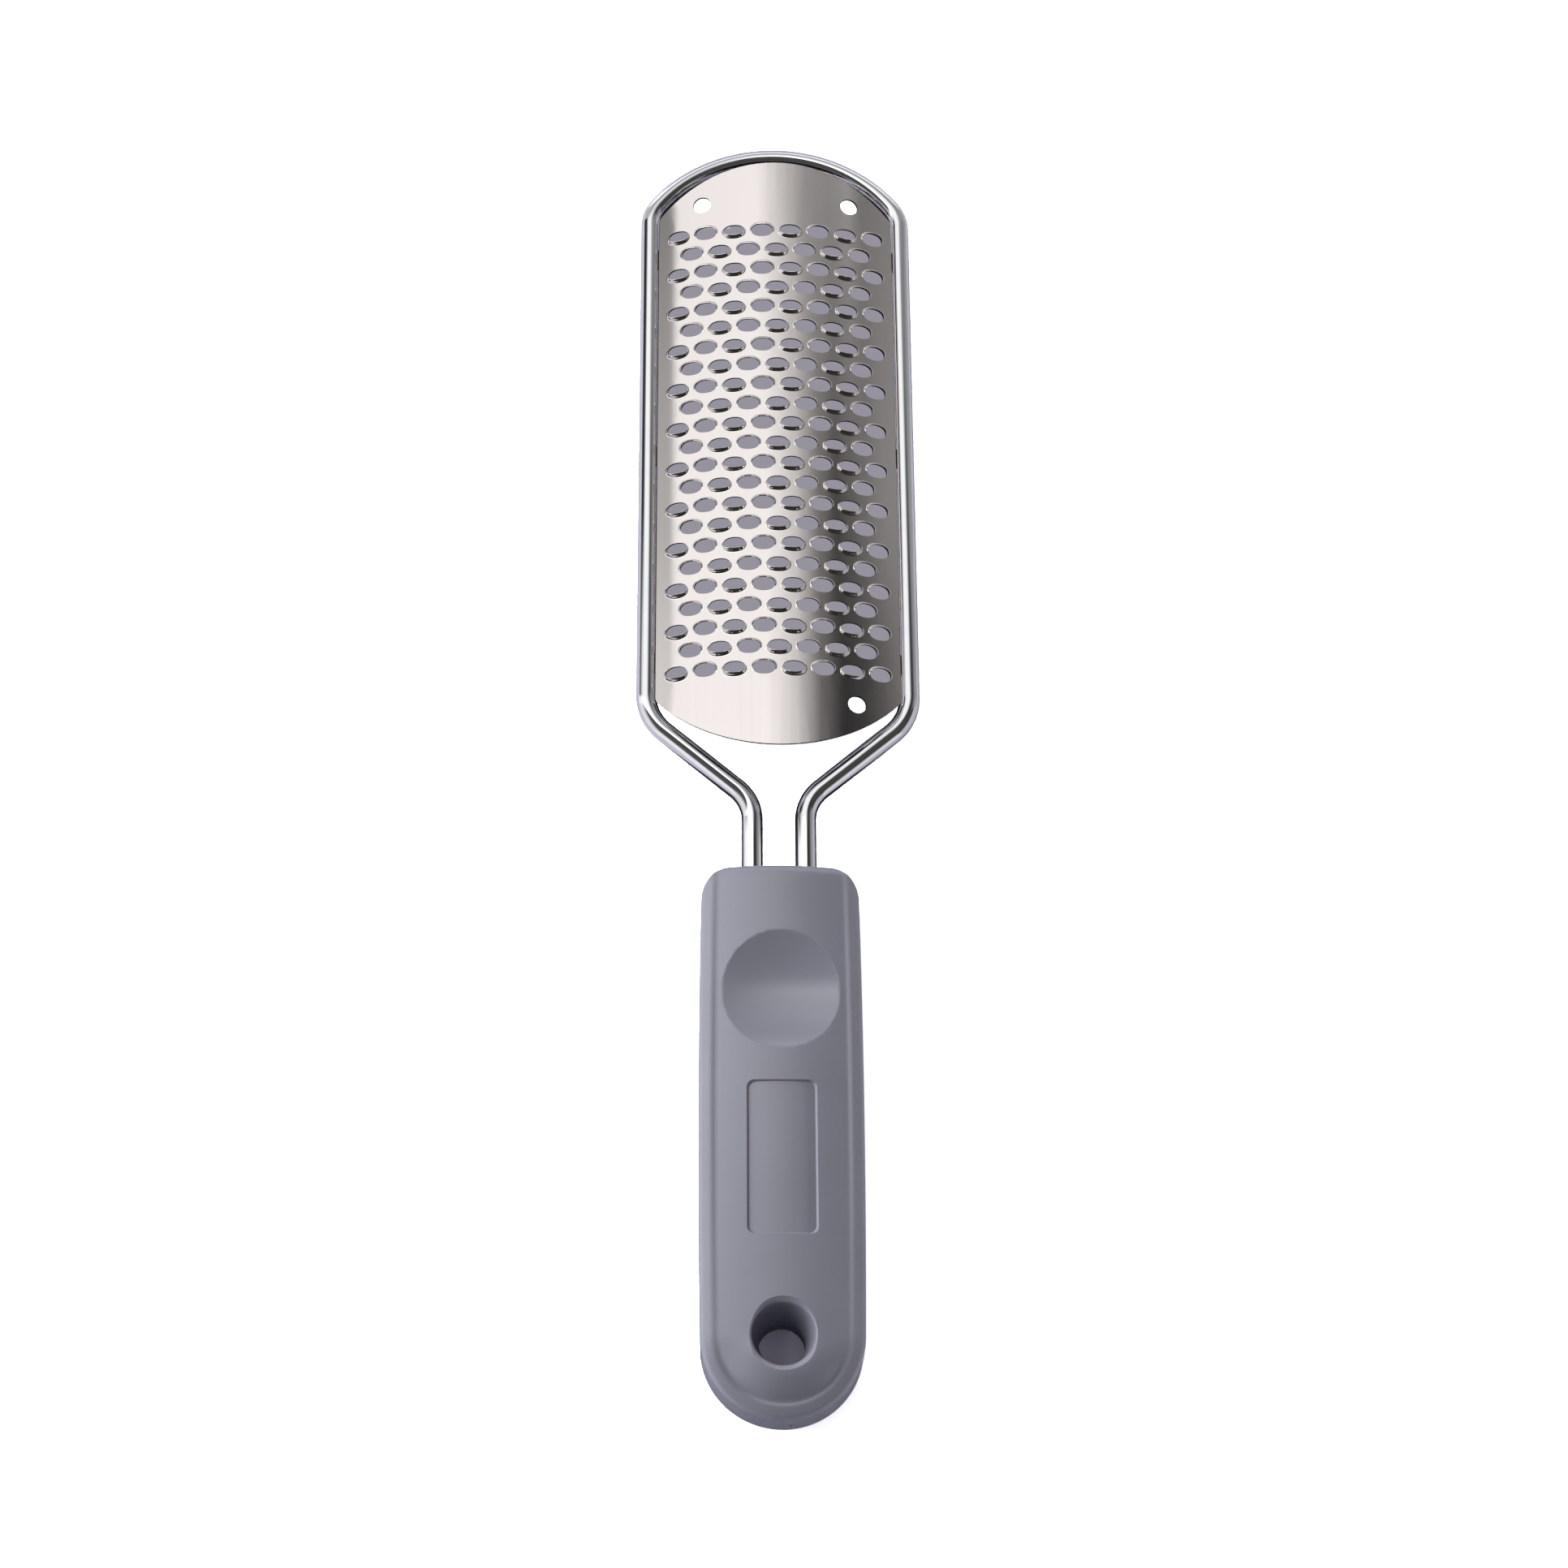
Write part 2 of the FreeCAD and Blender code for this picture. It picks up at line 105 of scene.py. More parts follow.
def makeWire():
    w = wire
    bm = bmesh.new()
    start = Vector((w["legX"], w["startY"], w["level"])) * mm
    facing = Matrix.Translation(start) @ Matrix.Rotation(math.pi / 2, 4, "X")
    made = bmesh.ops.create_circle(bm, cap_ends=False, radius=(w["radius"] - w["endRound"]) * mm,
                                   segments=w["sides"], matrix=facing)
    ring = edgesOf(made["verts"])
    bmesh.ops.edgenet_fill(bm, edges=ring)
    state = {"ring": ring, "at": start.copy(), "heading": Vector((0, 1, 0))}

    def run(length, widen):
        verts, state["ring"] = drawOut(bm, state["ring"])
        bmesh.ops.translate(bm, verts=verts, vec=state["heading"] * length * mm)
        state["at"] += state["heading"] * length * mm
        if widen:
            for vert in verts:
                out = vert.co - state["at"]
                vert.co = state["at"] + out * (1 + widen / (out.length / mm))

    def turn(angle, radius):
        # Positive turns to the left, about a centre to that side
        side = Vector((-state["heading"].y, state["heading"].x, 0)) * math.copysign(1, angle)
        centre = state["at"] + side * radius * mm
        steps = max(w["leastSteps"], math.ceil(math.degrees(abs(angle)) / w["stepDegrees"]))
        made = bmesh.ops.spin(bm, geom=state["ring"], cent=centre, axis=(0, 0, 1), angle=angle, steps=steps,
                              use_merge=False, use_duplicate=False)["geom_last"]
        state["ring"] = [item for item in made if isinstance(item, bmesh.types.BMEdge)]
        state["at"] = rotationAbout(centre, "Z", angle) @ state["at"]
        state["heading"] = Matrix.Rotation(angle, 3, "Z") @ state["heading"]

    # The tip's arc touches the corner bends, and the bends touch the straight runs
    cornerX = w["sideX"] - w["tipCornerBend"]
    overCorner = w["tipRise"] - w["tipCornerBend"]
    tipBend = (cornerX ** 2 + w["tipRise"] ** 2 - w["tipCornerBend"] ** 2) / (2 * overCorner)
    tipDrop = tipBend - w["tipRise"]
    cornerTurn = math.atan2(tipDrop, cornerX)
    across = w["sideX"] - w["legX"]
    along = w["shoulderY"] - w["legCornerY"]
    splay = math.atan2(across, along)
    low = w["legBend"] * math.tan(splay / 2)
    high = w["shoulderBend"] * math.tan(splay / 2)
    # (run, length, widening) or (turn, angle, bend), from the end of one leg to the tip's arc
    half = [
        ("run", w["endRound"], w["endRound"]),
        ("run", w["legCornerY"] - w["startY"] - low - w["endRound"], 0),
        ("turn", -splay, w["legBend"]),
        ("run", math.hypot(across, along) - low - high, 0),
        ("turn", splay, w["shoulderBend"]),
        ("run", w["sideTopY"] - w["shoulderY"] - high, 0),
        ("turn", cornerTurn, w["tipCornerBend"]),
    ]
    steps = half + [("turn", math.pi - 2 * cornerTurn, tipBend)]
    for kind, size, extra in reversed(half):
        steps.append((kind, size, -extra) if kind == "run" else (kind, size, extra))
    for kind, size, extra in steps:
        if kind == "run":
            run(size, extra)
        else:
            turn(size, extra)
    bmesh.ops.edgenet_fill(bm, edges=state["ring"])
    return pieceFrom(bm, "wireLoop", w["sharpAngle"])


wireLoop = makeWire()
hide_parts("wire_frame")
print("wire bent:", len(wireLoop.data.polygons), "faces")


# Rasp plate: flat sheet with punched teeth, then bent onto its arch
plate = {
    # Arch and outline
    "half": 23.3, "archHeight": 4.8, "thickness": 0.5, "edgeLevel": 7.8729, "bottomY": 6.45, "topY": 114.35,
    "endRise": 11.0, "endSteps": 28, "cornerRound": 2.0, "cornerSteps": 6,
    # Cuts along the sheet, at which it bends
    "cutStep": 1.9, "cutShift": 0.13, "sharpAngle": 40,
    # Teeth: the columns are counted to each side of the middle, half a pitch apart
    "columnPitch": 5.65, "rowPitch": 4.44, "rows": 23, "columns": 7,
    "openWidth": 4.35, "openLength": 2.95, "lipHeight": 0.64, "lipLean": 0.3, "lipThick": 0.13,
    "liftPower": 0.8, "toothPoints": 28, "squareness": 0.88, "hinge": -0.12, "skirt": 0.34,
    # The three round holes, from the bent edge and past the end of the straight side
    "holeWidth": 3.6, "holeInset": 9.0, "holePast": 1.8, "holeSegments": 28,
}


def shapeTooth():
    # One punched opening: rings of points from the flat sheet over the lip,
    # down inside it and under the sheet
    p = plate
    bm = bmesh.new()
    halfWidth = p["openWidth"] / 2
    halfLength = p["openLength"] / 2
    made = bmesh.ops.create_circle(bm, cap_ends=False, radius=1.0, segments=p["toothPoints"])
    verts = list(made["verts"])
    current = edgesOf(verts)
    unit = [Vector((vert.co.x, vert.co.y)) for vert in verts]

    def place(ringVerts, spread, lipSpread, level, liftShare, lean):
        # The lip stands higher the further a point is from the hinge line between the two side corners
        for vert, turned in zip(ringVerts, unit):
            x = math.copysign(abs(turned.x) ** p["squareness"], turned.x)
            y = math.copysign(abs(turned.y) ** p["squareness"], turned.y)
            lift = max(0.0, (y - p["hinge"]) / (1 - p["hinge"])) ** p["liftPower"]
            along = y * (halfLength + (lipSpread if y > 0 else spread)) - lean * lift
            height = level + liftShare * p["lipHeight"] * lift
            vert.co = Vector((x * (halfWidth + spread), along, height)) * mm

    thick = p["thickness"]
    rim = p["lipThick"]
    lean = p["lipLean"]
    skirt = p["skirt"]
    # Each ring: its distance outside the opening, the same on the lip's side, its level,
    # its share of the lip's height, and how far it leans inwards there
    rings = [
        (skirt + 0.1, skirt + 0.12, 0.0, 0.0, 0.0),
        (skirt, skirt, 0.0, 0.0, 0.0),
        (skirt * 0.75, skirt * 0.8, 0.0, 0.03, 0.0),
        (skirt * 0.5, 0.21, 0.0, 0.14, 0.0),
        (skirt * 0.3, 0.17, 0.0, 0.45, lean * 0.25),
        (skirt * 0.12, 0.15, 0.0, 0.77, lean * 0.62),
        (0.02, rim, 0.0, 0.97, lean),
        (-0.01, rim - 0.03, 0.0, 1.0, lean),
        (-0.02, 0.0, 0.0, 0.97, lean),
        (-0.01, 0.06, -thick * 0.5, 0.42, lean * 0.4),
        (0.05, 0.22, -thick, 0.0, 0.0),
        (skirt, skirt + 0.12, -thick, 0.0, 0.0),
    ]
    place(verts, *rings[0])
    for ring in rings[1:]:
        verts, current = drawOut(bm, current)
        place(verts, *ring)
    mesh = bpy.data.meshes.new("toothShape")
    bm.to_mesh(mesh)
    bm.free()
    return mesh


def toothPlaces(middle):
    # Every second row is shifted by half a pitch, and the lips face both ways in turn
    p = plate
    places = []
    rows = p["rows"] // 2
    for row in range(-rows, rows + 1):
        for column in range(-p["columns"], p["columns"] + 1):
            if (row + rows + column + p["columns"]) % 2 == 0:
                facesTip = column % 4 in (0, 1)
                places.append((column * p["columnPitch"] / 2, middle + row * p["rowPitch"], facesTip))
    return places


def outlineLoop(bm, outer):
    # Plate outline in the flat: straight sides, arched ends, small round corners
    p = plate
    half = p["half"]
    rise = p["endRise"]
    endRadius = (half ** 2 + rise ** 2) / (2 * rise)
    cornerRadius = p["cornerRound"]
    # Corner circle touches the side and the end arc from inside
    centreX = half - cornerRadius
    reach = math.sqrt((endRadius - cornerRadius) ** 2 - centreX ** 2)
    cornerAngle = math.atan2(reach, centreX)
    verts = []
    for end in (1, -1):
        sideEnd = p["topY"] if end > 0 else p["bottomY"]
        arcCentre = sideEnd + end * (rise - endRadius)
        centreY = arcCentre + end * reach
        corner = []
        for step in range(p["cornerSteps"] + 1):
            angle = cornerAngle * step / p["cornerSteps"]
            outwards = centreX + cornerRadius * math.cos(angle)
            corner.append((outwards, centreY + end * cornerRadius * math.sin(angle)))
        points = list(corner)
        for step in range(1, p["endSteps"]):
            angle = cornerAngle + (math.pi - 2 * cornerAngle) * step / p["endSteps"]
            points.append((endRadius * math.cos(angle), arcCentre + end * endRadius * math.sin(angle)))
        points += [(-x, y) for x, y in reversed(corner)]
        if end < 0:
            points = [(-x, y) for x, y in points]
        for x, y in points:
            flatX = outer * math.asin(x / outer)
            verts.append(bm.verts.new(Vector((flatX, y, 0)) * mm))
    return [bm.edges.new((verts[index - 1], verts[index])) for index in range(len(verts))]


def makePlate():
    p = plate
    inner = (p["half"] ** 2 + p["archHeight"] ** 2) / (2 * p["archHeight"])
    outer = inner + p["thickness"]
    axisLevel = p["edgeLevel"] + p["archHeight"] - inner
    halfArc = outer * math.asin(p["half"] / outer)
    bm = bmesh.new()
    tooth = shapeTooth()
    for distance, y, facesTip in toothPlaces((p["bottomY"] + p["topY"]) / 2):
        copy = tooth.copy()
        turn = Matrix.Rotation(math.pi if facesTip else 0.0, 4, "Z")
        copy.transform(Matrix.Translation(Vector((distance, y, 0)) * mm) @ turn)
        bm.from_mesh(copy)
        bpy.data.meshes.remove(copy)
    bpy.data.meshes.remove(tooth)
    walls = outlineLoop(bm, outer)
    for side, end in ((-1, 1), (1, 1), (1, -1)):
        edgeY = p["topY"] if end > 0 else p["bottomY"]
        at = Vector((side * (halfArc - p["holeInset"]), edgeY + end * p["holePast"], 0)) * mm
        made = bmesh.ops.create_circle(bm, cap_ends=False, radius=p["holeWidth"] / 2 * mm,
                                       segments=p["holeSegments"], matrix=Matrix.Translation(at))
        walls += edgesOf(made["verts"])
    lower = drawOut(bm, walls)[0]
    bmesh.ops.translate(bm, verts=lower, vec=(0, 0, -p["thickness"] * mm))
    for level in (0.0, -p["thickness"] * mm):
        edges = [edge for edge in bm.edges
                 if edge.is_boundary and all(abs(vert.co.z - level) < levelWithin for vert in edge.verts)]
        bmesh.ops.triangle_fill(bm, edges=edges, use_beauty=True, use_dissolve=False)
    cuts = int(halfArc / p["cutStep"])
    sliceAcross(bm, [(index + p["cutShift"]) * p["cutStep"] for index in range(-cuts, cuts + 1)])
    for vert in bm.verts:
        angle = vert.co.x / (outer * mm)
        radius = outer * mm + vert.co.z
        vert.co.x = radius * math.sin(angle)
        vert.co.z = axisLevel * mm + radius * math.cos(angle)
    return pieceFrom(bm, "raspSheet", p["sharpAngle"])


raspSheet = makePlate()
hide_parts("rasp_plate")
print("plate punched:", len(raspSheet.data.polygons), "faces")


# Handle: a loop of points round the handle's section, drawn out from the neck to the tail
grip = {
    # Outline in plan, thickness and the level of the middle plane
    "neckY": -28.55, "tailY": -132.55, "half": 14.9, "tailRadius": 14.5, "widestFromNeck": 46.5,
    "neckCorner": 6.5, "neckRound": 2.2, "thickness": 13.0, "level": 6.5,
    # The pad over the middle plane: its top, its crown and its roll down round the tail
    "padTop": 6.5, "crown": 43.0, "tailRoll": 3.15, "rollFrom": 6.2, "rollInset": 2.8, "rollPower": 1.8,
    # The rim round it: its crest, its slope outwards to the round edge and its fall inwards
    "crest": 4.92, "tailDrop": 1.25, "crestInset": 2.15, "bandSlope": 0.46, "slopeRound": 0.3,
    "edgeRound": 0.8, "innerFall": 0.4,
    # How softly the two meet in the valley
    "blend": 0.46, "tailBlend": 0.22,
    # Fineness of the mesh
    "step": 0.65, "neckSteps": 10, "tailSteps": 44, "acrossTop": 72, "offEdge": 0.9995, "sharpAngle": 50,
}
tailCentre = grip["tailY"] + grip["tailRadius"]


def makeGripBody():
    g = grip
    widest = g["neckY"] - g["widestFromNeck"]
    reachDown = widest - tailCentre
    barrel = (reachDown ** 2 / (g["half"] - g["tailRadius"]) + g["half"] + g["tailRadius"]) / 2
    barrelX = g["half"] - barrel

    def sideAt(y):
        return barrelX + math.sqrt(barrel ** 2 - (y - widest) ** 2)

    def halfAt(y):
        if y < tailCentre:
            return math.sqrt(max(0.0, g["tailRadius"] ** 2 - (tailCentre - y) ** 2))
        side = sideAt(y)
        fromNeck = g["neckY"] - y
        if fromNeck < g["neckCorner"]:
            side -= roundOver(g["neckCorner"], g["neckCorner"] - fromNeck)
        return side

    def edgeDistance(x, y):
        # Distance in plan from the sides and the tail, not from the neck end
        if y < tailCentre:
            return g["tailRadius"] - math.hypot(x, tailCentre - y)
        return sideAt(y) - abs(x)

    def levelAt(x, y, above):
        # Height over the middle plane: a crowned pad inside a rounded rim, with a soft valley between
        # them. On the upper side both roll down round the tail
        inside = edgeDistance(x, y)
        reach = math.hypot(x, tailCentre - y) if y < tailCentre else abs(x)
        tailwards = min(1.0, max(0.0, (tailCentre - y) / max(reach, 0.001))) if above else 0.0
        tailwards *= tailwards * (3 - 2 * tailwards)
        roll = max(0.0, (reach - g["rollFrom"]) / (g["tailRadius"] - g["rollInset"] - g["rollFrom"]))
        crowned = roundOver(g["crown"], reach)
        pad = g["padTop"] - crowned * (1 - tailwards) - g["tailRoll"] * tailwards * roll ** g["rollPower"]
        band = g["crest"] - g["tailDrop"] * tailwards
        out = g["crestInset"] - inside
        if out > 0:
            band -= g["bandSlope"] * out ** 2 / (out + g["slopeRound"])
            if inside < g["edgeRound"]:
                band -= roundOver(g["edgeRound"], g["edgeRound"] - inside)
        else:
            band -= g["innerFall"] * out ** 2
        blend = g["blend"] + g["tailBlend"] * tailwards
        share = min(1.0, max(0.0, 0.5 + 0.5 * (pad - band) / blend))
        height = band * (1 - share) + pad * share + blend * share * (1 - share)
        # Rounded over at the neck
        fromNeck = g["neckY"] - y
        if fromNeck < g["neckRound"]:
            height -= roundOver(g["neckRound"], g["neckRound"] - fromNeck)
        return height

    # Closer stations where the neck and the tail are round
    stations = []
    for index in range(g["neckSteps"]):
        angle = math.pi / 2 * index / g["neckSteps"]
        stations.append(g["neckY"] - g["neckRound"] * (1 - math.cos(angle)))
    y = g["neckY"] - g["neckRound"]
    while y > tailCentre + g["step"]:
        stations.append(y)
        y -= g["step"]
    for index in range(g["tailSteps"]):
        angle = math.pi / 2 * index / g["tailSteps"]
        stations.append(tailCentre - g["tailRadius"] * math.sin(angle))

    bm = bmesh.new()
    made = bmesh.ops.create_circle(bm, cap_ends=False, radius=1.0, segments=2 * g["acrossTop"])
    verts = list(made["verts"])
    current = edgesOf(verts)
    unit = [math.atan2(vert.co.y, vert.co.x) for vert in verts]

    def place(ringVerts, y):
        half = halfAt(y)
        for vert, angle in zip(ringVerts, unit):
            # Points lie closer together near the sides
            x = half * math.cos(angle)
            sideways = math.sin(angle)
            height = levelAt(x * g["offEdge"], y, sideways > 0)
            onSide = abs(sideways) < 1e-6
            z = g["level"] + (0.0 if onSide else math.copysign(height, sideways))
            vert.co = Vector((x, y, z)) * mm

    place(verts, stations[0])
    bmesh.ops.edgenet_fill(bm, edges=current)
    for y in stations[1:]:
        verts, current = drawOut(bm, current)
        place(verts, y)
    bmesh.ops.edgenet_fill(bm, edges=current)
    return bm


# What is cut into the handle, and the nub that is left on it
features = {
    # Thumb dish: its depth, its radii along and across, and its polished spot
    "dishFromNeck": 25.0, "dishDepth": 2.0, "dishAlong": 34.0, "dishAcross": 95.0, "dishReach": 16.0,
    "dishSweep": 20.0, "dishSteps": 72, "dishTurns": 64, "dishPolish": (10.9, 11.5, 6.0), "dishRough": 0.2,
    # Bare recess
    "recessFromNeck": 57.0, "recessWidth": 11.9, "recessLength": 28.3, "recessDepth": 0.28, "recessRise": 1.0,
    "recessCorner": 1.4, "recessFlare": 0.85, "recessCrown": 31.0, "recessCuts": 6, "recessCutStep": 0.93,
    # Room for the core and the legs of the wire
    "coreGap": 0.1, "coreCorner": 3.1, "cornerSegments": 6,
    "boreGap": 0.1, "boreLength": 80.0, "boreSegments": 32,
    # Hang hole: radii, then its rings from the back up, as what each adds to the throat's or the mouth's
    # radius and its level
    "throat": 4.15, "mouth": 5.5, "holeSegments": 72,
    "throatRings": [(2.05, -1.0), (0.85, 0.0), (0.4, 0.3), (0.13, 0.6), (0.0, 0.95), (0.0, 5.8)],
    "mouthRings": [(-0.1, 11.4), (0.05, 11.95), (0.22, 12.35), (0.55, 12.65), (1.1, 12.88), (1.6, 14.0)],
    # Nub at the tail, and the angle from which a cut edge stays sharp
    "gateX": 1.4, "gateRadius": 0.42, "gateInset": 0.1, "gateBelow": 1.3, "gateDivisions": 3,
    "sharpAngle": 24,
}


def loftedCutter(rings, segments):
    # Round cutter upright about its own axis: (radius, level) from the bottom to the top
    bm = bmesh.new()
    radius, level = rings[0]
    made = bmesh.ops.create_circle(bm, cap_ends=True, radius=radius * mm, segments=segments,
                                   matrix=Matrix.Translation((0, 0, level * mm)))
    current = edgesOf(made["verts"])
    for nextRadius, nextLevel in rings[1:]:
        verts, current = drawOut(bm, current)
        for vert in verts:
            vert.co.x *= nextRadius / radius
            vert.co.y *= nextRadius / radius
            vert.co.z = nextLevel * mm
        radius = nextRadius
    bmesh.ops.edgenet_fill(bm, edges=current)
    return bm


def roundedBlock(centre, size, corner):
    # Block with its upright edges rounded
    bm = bmesh.new()
    bmesh.ops.create_cube(bm, size=1.0, matrix=Matrix.Translation(centre) @ Matrix.Diagonal((*size, 1)))
    upright = [edge for edge in bm.edges if abs(edge.verts[0].co.z - edge.verts[1].co.z) > levelWithin]
    bmesh.ops.bevel(bm, geom=upright, affect="EDGES", offset=corner * mm,
                    segments=features["cornerSegments"], profile=0.5, material=-1)
    return bm


def makeDishCutter():
    # Barrel-shaped: an arc along the handle, turned about an axis high over it
    d = features
    floor = grip["thickness"] - d["dishDepth"]
    middle = grip["neckY"] - d["dishFromNeck"]
    reach = d["dishReach"]
    bm = bmesh.new()
    verts = []
    for index in range(d["dishSteps"] + 1):
        y = -reach + 2 * reach * index / d["dishSteps"]
        verts.append(bm.verts.new(Vector((0, middle + y, floor + roundOver(d["dishAlong"], y))) * mm))
    face = bm.faces.new(verts)
    axis = Vector((0, middle, floor + d["dishAcross"])) * mm
    sweep = math.radians(d["dishSweep"])
    bmesh.ops.transform(bm, verts=verts, matrix=rotationAbout(axis, "Y", -sweep / 2))
    bmesh.ops.spin(bm, geom=verts + list(face.edges) + [face], cent=axis, axis=(0, 1, 0), angle=sweep,
                   steps=d["dishTurns"], use_duplicate=False)
    return bm


def makeRecessCutter():
    # Block with round corners, wider upwards, bent rounder than the crown of the pad
    d = features
    low = grip["thickness"] - d["recessDepth"]
    high = grip["thickness"] + d["recessRise"]
    size = Vector((d["recessWidth"], d["recessLength"], high - low)) * mm
    centre = Vector((0, grip["neckY"] - d["recessFromNeck"], (low + high) / 2)) * mm
    bm = roundedBlock(centre, size, d["recessCorner"])
    flare = d["recessFlare"] * (high - low) * mm
    for vert in bm.verts:
        if vert.co.z > centre.z:
            vert.co.x *= 1 + flare / (size.x / 2)
            vert.co.y = centre.y + (vert.co.y - centre.y) * (1 + flare / (size.y / 2))
    sliceAcross(bm, [index * d["recessCutStep"] for index in range(-d["recessCuts"], d["recessCuts"] + 1)])
    for vert in bm.verts:
        vert.co.z -= roundOver(d["recessCrown"], vert.co.x / mm) * mm
    return bm


def makeCoreSpace():
    # The room inside the grip for the core
    low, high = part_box("handle_core")
    gap = Vector((1, 1, 1)) * features["coreGap"] * mm
    return roundedBlock((low + high) / 2, high - low + 2 * gap, features["coreCorner"])


def makeHoleCutter():
    d = features
    rings = [(d["throat"] + wider, level) for wider, level in d["throatRings"]]
    rings += [(d["mouth"] + wider, level) for wider, level in d["mouthRings"]]
    cutter = loftedCutter(rings, d["holeSegments"])
    bmesh.ops.translate(cutter, verts=cutter.verts, vec=(0, tailCentre * mm, 0))
    return cutter


def makeBoreCutter(side):
    # Room for one leg of the wire
    d = features
    radius = wire["radius"] + d["boreGap"]
    bore = loftedCutter([(radius, 0.0), (radius, d["boreLength"])], d["boreSegments"])
    start = Vector((side * wire["legX"], wire["startY"] - d["boreGap"], wire["level"])) * mm
    along = Matrix.Translation(start) @ Matrix.Rotation(-math.pi / 2, 4, "X")
    bmesh.ops.transform(bore, verts=bore.verts, matrix=along)
    return bore


def makeNub():
    # Small nub at the tail where the mould was filled
    d = features
    nub = bmesh.new()
    centre = Vector((d["gateX"], grip["tailY"] + d["gateInset"], grip["level"] - d["gateBelow"])) * mm
    bmesh.ops.create_icosphere(nub, subdivisions=d["gateDivisions"], radius=d["gateRadius"] * mm,
                               matrix=Matrix.Translation(centre))
    return nub


def combine(piece, tools, operation):
    for tool in tools:
        bmesh.ops.recalc_face_normals(tool, faces=tool.faces)
        mesh = bpy.data.meshes.new("cutter")
        tool.to_mesh(mesh)
        tool.free()
        cutter = bpy.data.objects.new("cutter", mesh)
        bpy.context.scene.collection.objects.link(cutter)
        modifier = piece.modifiers.new("cut", "BOOLEAN")
        modifier.operation = operation
        modifier.solver = "EXACT"
        modifier.object = cutter
        bpy.context.view_layer.update()
        graph = bpy.context.evaluated_depsgraph_get()
        cut = bpy.data.meshes.new_from_object(piece.evaluated_get(graph))
        piece.modifiers.clear()
        old = piece.data
        piece.data = cut
        bpy.data.meshes.remove(old)
        bpy.data.objects.remove(cutter)


gripBody = pieceFrom(makeGripBody(), "gripHandle", grip["sharpAngle"])
cutters = [makeDishCutter(), makeRecessCutter(), makeHoleCutter(), makeCoreSpace()]
cutters += [makeBoreCutter(side) for side in (-1, 1)]
combine(gripBody, cutters, "DIFFERENCE")
combine(gripBody, [makeNub()], "UNION")
gripBody.data.shade_smooth()
gripBody.data.set_sharp_from_angle(angle=math.radians(features["sharpAngle"]))
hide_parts("handle_grip")
print("handle moulded:", len(gripBody.data.polygons), "faces")


# Materials: two shades and two roughnesses each, mixed by noise
finishes = {
    "polishedChrome": {"low": (0.80, 0.80, 0.83, 1), "high": (0.88, 0.88, 0.90, 1), "rough": (0.03, 0.09)},
    "polishedSheet": {"low": (0.80, 0.748, 0.732, 1), "high": (0.84, 0.79, 0.772, 1), "rough": (0.06, 0.11)},
    "weldedSteel": {"low": (0.30, 0.28, 0.27, 1), "high": (0.55, 0.52, 0.50, 1), "rough": (0.35, 0.5)},
    "softRubber": {"low": (0.236, 0.236, 0.292, 1), "high": (0.252, 0.252, 0.311, 1), "rough": (0.28, 0.33)},
    "mouldedCore": {"low": (0.04, 0.04, 0.045, 1), "high": (0.06, 0.06, 0.066, 1), "rough": (0.4, 0.5)},
}
# Scales and detail of the noises, and bumps as strength and distance in metres
grain = {
    "wireClouds": 220.0,
    "sheetStretch": (900.0, 14.0, 60.0), "sheetDetail": 4.0, "sheetBump": (0.06, 0.00002),
    "rubberClouds": 60.0, "cloudDetail": 3.0, "cloudEnds": (0.3, 0.7),
    "rubberGrain": 5200.0, "rubberBump": (0.25, 0.00003), "rubberGloss": 1.0, "dishEdge": 0.97,
}


def newMaterial(name):
    material = bpy.data.materials.new(name)
    material.use_nodes = True
    tree = material.node_tree
    shader = tree.nodes["Principled BSDF"]
    place = tree.nodes.new("ShaderNodeTexCoord")
    return material, tree, shader, place.outputs["Object"]


def noiseFrom(tree, vector, scale, detail=2.0):
    noise = tree.nodes.new("ShaderNodeTexNoise")
    noise.inputs["Scale"].default_value = scale
    noise.inputs["Detail"].default_value = detail
    tree.links.new(vector, noise.inputs["Vector"])
    return noise.outputs["Fac"]


def rangeFrom(tree, value, ends):
    spread = tree.nodes.new("ShaderNodeMapRange")
    spread.inputs["To Min"].default_value = ends[0]
    spread.inputs["To Max"].default_value = ends[1]
    tree.links.new(value, spread.inputs["Value"])
    return spread.outputs["Result"]


def colorBy(tree, shader, noise, finish, ends=(0.0, 1.0)):
    ramp = tree.nodes.new("ShaderNodeValToRGB")
    for index, color in enumerate((finish["low"], finish["high"])):
        ramp.color_ramp.elements[index].position = ends[index]
        ramp.color_ramp.elements[index].color = color
    tree.links.new(noise, ramp.inputs["Fac"])
    tree.links.new(ramp.outputs["Color"], shader.inputs["Base Color"])


def bumpBy(tree, shader, height, settings):
    bump = tree.nodes.new("ShaderNodeBump")
    bump.inputs["Strength"].default_value = settings[0]
    bump.inputs["Distance"].default_value = settings[1]
    tree.links.new(height, bump.inputs["Height"])
    tree.links.new(bump.outputs["Normal"], shader.inputs["Normal"])


def chromeFinish(name):
    material, tree, shader, place = newMaterial(name)
    finish = finishes[name]
    shader.inputs["Metallic"].default_value = 1.0
    noise = noiseFrom(tree, place, grain["wireClouds"])
    colorBy(tree, shader, noise, finish)
    tree.links.new(rangeFrom(tree, noise, finish["rough"]), shader.inputs["Roughness"])
    return material


